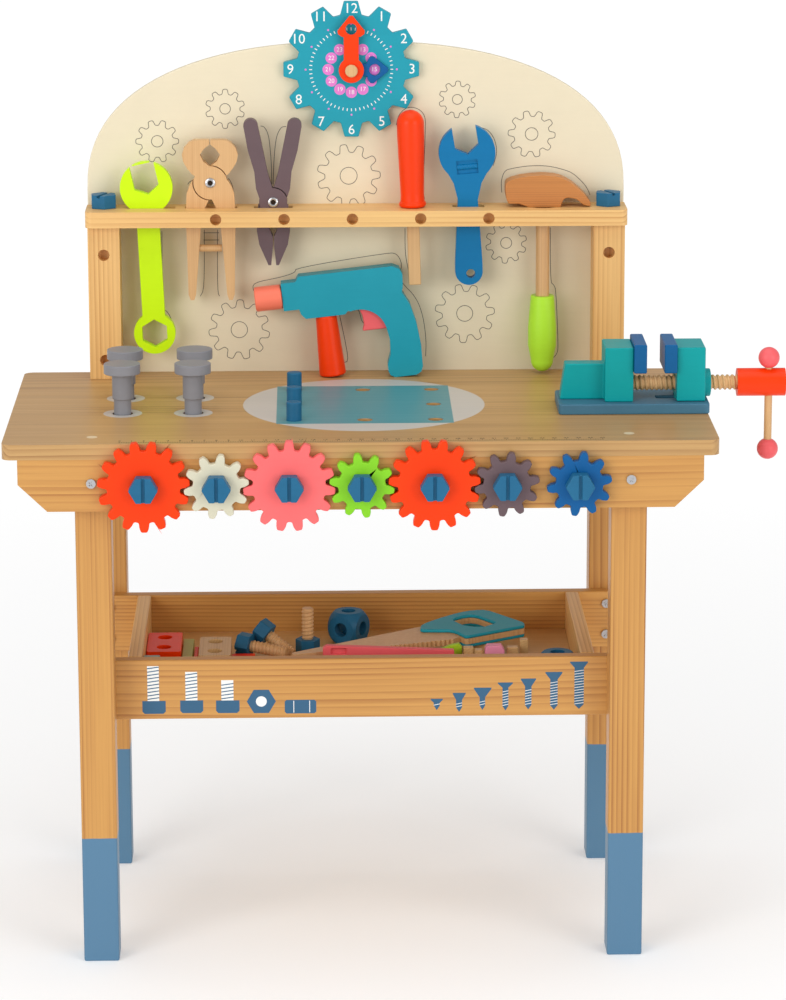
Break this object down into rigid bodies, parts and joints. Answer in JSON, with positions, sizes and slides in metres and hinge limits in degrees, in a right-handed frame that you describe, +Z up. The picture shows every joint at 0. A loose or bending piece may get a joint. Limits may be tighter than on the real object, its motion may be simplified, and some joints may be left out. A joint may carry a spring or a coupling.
{
  "type": "toy workbench",
  "caption": "Child's wooden workbench with a tray, toothed wheels, a clock, a vise and hanging tools",
  "frame": {"origin": "on the floor, straight below the centre of the worktop", "axes": "X to the right along the bench, Y from the front to the back panel, Z up"},
  "size_m": [0.6625, 0.3215, 0.7887],
  "materials": {
    "pine": "clear lacquered pine",
    "worktop_pine": "clear lacquered pine with printed marks",
    "panel_cream": "cream paint on fibreboard with printed outlines",
    "steel": "plated steel",
    "bolt_blue": "satin paint on beech",
    "clock_teal": "satin paint on beech",
    "beech": "clear lacquered beech",
    "orange": "satin paint on beech",
    "hand_blue": "satin paint on beech",
    "cream": "satin paint on beech",
    "pink": "satin paint on beech",
    "lime": "satin paint on beech",
    "mauve": "satin paint on beech",
    "peg_gray": "satin paint on beech",
    "vise_turquoise": "satin paint on beech",
    "vise_slate": "satin paint on beech",
    "pad_blue": "satin paint on beech",
    "coral": "satin paint on beech",
    "spanner_yellow": "satin paint on beech",
    "wrench_blue": "satin paint on beech",
    "hammer_brown": "stained beech",
    "grip_lime": "satin paint on beech"
  },
  "bodies": {
    "bench": {"legs": "pine", "worktop": "worktop_pine", "front_apron": "pine", "back_apron": "pine", "side_rails": "pine", "tray_boards": "pine", "tray_sides": "pine", "tray_bottom": "pine", "back_posts": "pine", "tool_shelf": "pine", "back_panel": "panel_cream", "frame_screws": "steel", "toy_bolts": "bolt_blue", "clock_dial": "clock_teal", "clock_peg": "beech", "vise_base": "vise_slate", "vise_fixed_jaw": "vise_turquoise", "vise_fixed_pad": "pad_blue"},
    "minute_hand": {"minute_hand": "orange"},
    "hour_hand": {"hour_hand": "hand_blue"},
    "wheel_1": {"gear_1": "orange"},
    "wheel_2": {"gear_2": "cream"},
    "wheel_3": {"gear_3": "pink"},
    "wheel_4": {"gear_4": "lime"},
    "wheel_5": {"gear_5": "orange"},
    "wheel_6": {"gear_6": "mauve"},
    "wheel_7": {"gear_7": "hand_blue"},
    "peg_1": {"hammer_peg_1": "peg_gray"},
    "peg_2": {"hammer_peg_2": "peg_gray"},
    "peg_3": {"hammer_peg_3": "peg_gray"},
    "peg_4": {"hammer_peg_4": "peg_gray"},
    "small_pegs": {"small_pegs": "bolt_blue"},
    "vise_jaw": {"vise_sliding_jaw": "vise_turquoise", "vise_sliding_pad": "pad_blue"},
    "vise_screw": {"vise_screw": "beech", "vise_hub": "orange"},
    "vise_bar": {"vise_bar": "beech", "vise_knobs": "coral"},
    "spanner": {"spanner": "spanner_yellow"},
    "pincers": {"pincers_left": "beech", "pincers_rivet": "steel"},
    "pincers_arm": {"pincers_right": "beech"},
    "pliers": {"pliers_left": "mauve", "pliers_rivet": "steel"},
    "pliers_arm": {"pliers_right": "mauve"},
    "screwdriver": {"screwdriver_handle": "orange", "screwdriver_blade": "beech"},
    "wrench": {"adjustable_wrench": "wrench_blue"},
    "hammer": {"hammer_head": "hammer_brown", "hammer_shaft": "beech", "hammer_grip": "grip_lime"},
    "drill": {"drill_body": "clock_teal", "drill_side_handle": "orange"},
    "drill_chuck": {"drill_chuck": "coral"},
    "drill_trigger": {"drill_trigger": "coral"},
    "saw": {"saw_blade": "beech", "saw_handle": "clock_teal"},
    "loose_bolts": {"loose_bolts": "bolt_blue"},
    "loose_nuts": {"loose_nuts": "bolt_blue"},
    "loose_strips": {"loose_strips": "orange"}
  },
  "joints": [
    {"name": "wheel_1_spin", "type": "hinge", "parent": "bench", "child": "wheel_1", "pos_m": [-0.18, -0.14925, 0.422], "axis": [0, -1, 0], "continuous": true},
    {"name": "wheel_2_spin", "type": "hinge", "parent": "bench", "child": "wheel_2", "pos_m": [-0.12, -0.14925, 0.422], "axis": [0, -1, 0], "continuous": true},
    {"name": "wheel_3_spin", "type": "hinge", "parent": "bench", "child": "wheel_3", "pos_m": [-0.06, -0.14925, 0.422], "axis": [0, -1, 0], "continuous": true},
    {"name": "wheel_4_spin", "type": "hinge", "parent": "bench", "child": "wheel_4", "pos_m": [0, -0.14925, 0.422], "axis": [0, -1, 0], "continuous": true},
    {"name": "wheel_5_spin", "type": "hinge", "parent": "bench", "child": "wheel_5", "pos_m": [0.06, -0.14925, 0.422], "axis": [0, -1, 0], "continuous": true},
    {"name": "wheel_6_spin", "type": "hinge", "parent": "bench", "child": "wheel_6", "pos_m": [0.12, -0.14925, 0.422], "axis": [0, -1, 0], "continuous": true},
    {"name": "wheel_7_spin", "type": "hinge", "parent": "bench", "child": "wheel_7", "pos_m": [0.18, -0.14925, 0.422], "axis": [0, -1, 0], "continuous": true},
    {"name": "minute_hand_turn", "type": "hinge", "parent": "bench", "child": "minute_hand", "pos_m": [-0.004, 0.13045, 0.729], "axis": [0, -1, 0], "continuous": true},
    {"name": "hour_hand_turn", "type": "hinge", "parent": "bench", "child": "hour_hand", "pos_m": [-0.004, 0.13435, 0.729], "axis": [0, -1, 0], "continuous": true},
    {"name": "peg_1_slide", "type": "slide", "parent": "bench", "child": "peg_1", "axis": [0, 0, 1], "range_m": [-0.035, 0]},
    {"name": "peg_2_slide", "type": "slide", "parent": "bench", "child": "peg_2", "axis": [0, 0, 1], "range_m": [-0.035, 0]},
    {"name": "peg_3_slide", "type": "slide", "parent": "bench", "child": "peg_3", "axis": [0, 0, 1], "range_m": [-0.035, 0]},
    {"name": "peg_4_slide", "type": "slide", "parent": "bench", "child": "peg_4", "axis": [0, 0, 1], "range_m": [-0.035, 0]},
    {"name": "small_pegs_lift", "type": "slide", "parent": "bench", "child": "small_pegs", "axis": [0, 0, 1], "range_m": [0, 0.03]},
    {"name": "vise_jaw_slide", "type": "slide", "parent": "bench", "child": "vise_jaw", "axis": [-1, 0, 0], "range_m": [0, 0.0148]},
    {"name": "vise_screw_turn", "type": "hinge", "parent": "vise_jaw", "child": "vise_screw", "pos_m": [0.31, -0.0165, 0.4785], "axis": [1, 0, 0], "range_deg": [0, 1260]},
    {"name": "vise_bar_slide", "type": "slide", "parent": "vise_screw", "child": "vise_bar", "axis": [0, 0, 1], "range_m": [0, 0.037]},
    {"name": "spanner_lift", "type": "slide", "parent": "bench", "child": "spanner", "axis": [0, 0, 1], "range_m": [0, 0.137]},
    {"name": "pincers_lift", "type": "slide", "parent": "bench", "child": "pincers", "axis": [0, 0, 1], "range_m": [0, 0.085]},
    {"name": "pincers_open", "type": "hinge", "parent": "pincers", "child": "pincers_arm", "pos_m": [-0.1288, 0.12775, 0.631], "axis": [0, -1, 0], "range_deg": [0, 2]},
    {"name": "pliers_lift", "type": "slide", "parent": "bench", "child": "pliers", "axis": [0, 0, 1], "range_m": [0, 0.06]},
    {"name": "pliers_open", "type": "hinge", "parent": "pliers", "child": "pliers_arm", "pos_m": [-0.0736, 0.12775, 0.6136], "axis": [0, 1, 0], "range_deg": [0, 5]},
    {"name": "screwdriver_lift", "type": "slide", "parent": "bench", "child": "screwdriver", "axis": [0, 0, 1], "range_m": [0, 0.085]},
    {"name": "wrench_lift", "type": "slide", "parent": "bench", "child": "wrench", "axis": [0, 0, 1], "range_m": [0, 0.075]},
    {"name": "hammer_lift", "type": "slide", "parent": "bench", "child": "hammer", "axis": [0, 0, 1], "range_m": [0, 0.155]},
    {"name": "drill_out", "type": "slide", "parent": "bench", "child": "drill", "axis": [0, -1, 0], "range_m": [0, 0.12]},
    {"name": "drill_chuck_spin", "type": "hinge", "parent": "drill", "child": "drill_chuck", "pos_m": [-0.06622, 0.1215, 0.52916], "axis": [-0.9942, 0, -0.108], "continuous": true},
    {"name": "drill_trigger_press", "type": "slide", "parent": "drill", "child": "drill_trigger", "axis": [0.9942, 0, 0.108], "range_m": [0, 0.0029], "stiffness_N_per_m": 300, "springref_m": -0.001},
    {"name": "loose_bolts_lift", "type": "slide", "parent": "bench", "child": "loose_bolts", "axis": [0, 0, 1], "range_m": [0, 0.08]},
    {"name": "loose_nuts_lift", "type": "slide", "parent": "bench", "child": "loose_nuts", "axis": [0, 0, 1], "range_m": [0, 0.08]},
    {"name": "loose_strips_lift", "type": "slide", "parent": "bench", "child": "loose_strips", "axis": [0, 0, 1], "range_m": [0, 0.04]},
    {"name": "saw_lift", "type": "slide", "parent": "loose_strips", "child": "saw", "axis": [0, 0, 1], "range_m": [0, 0.12]}
  ],
  "couplings": [
    {"joint": "wheel_2_spin", "follows": "wheel_1_spin", "ratio": -1.5},
    {"joint": "wheel_3_spin", "follows": "wheel_1_spin", "ratio": 1},
    {"joint": "wheel_4_spin", "follows": "wheel_1_spin", "ratio": -1.5},
    {"joint": "wheel_5_spin", "follows": "wheel_1_spin", "ratio": 1},
    {"joint": "wheel_6_spin", "follows": "wheel_1_spin", "ratio": -1.5},
    {"joint": "vise_jaw_slide", "follows": "vise_screw_turn", "m_per_rad": 0.00066845}
  ]
}
